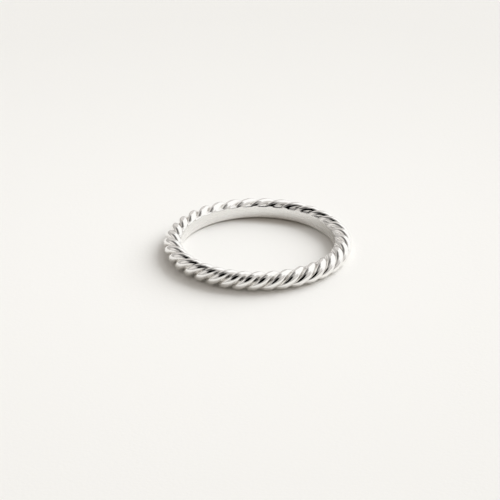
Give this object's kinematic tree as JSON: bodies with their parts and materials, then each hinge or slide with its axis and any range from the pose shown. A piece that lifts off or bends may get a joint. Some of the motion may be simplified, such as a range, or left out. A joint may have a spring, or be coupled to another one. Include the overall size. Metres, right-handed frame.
{
  "type": "twisted rope band ring",
  "caption": "Slim finger ring made as a rope of round strands laid round each other, with a plain smooth wall round the finger hole.",
  "frame": {"origin": "on the surface that the ring lies on, under the centre of the finger hole", "axes": "+Z along the finger hole, -Y towards the side that the picture shows in front"},
  "size_m": [0.021, 0.021, 0.0021],
  "materials": {
    "silver": "polished sterling silver, a little darker in the grooves"
  },
  "bodies": {
    "root": {"twisted_band": "silver"}
  },
  "joints": []
}
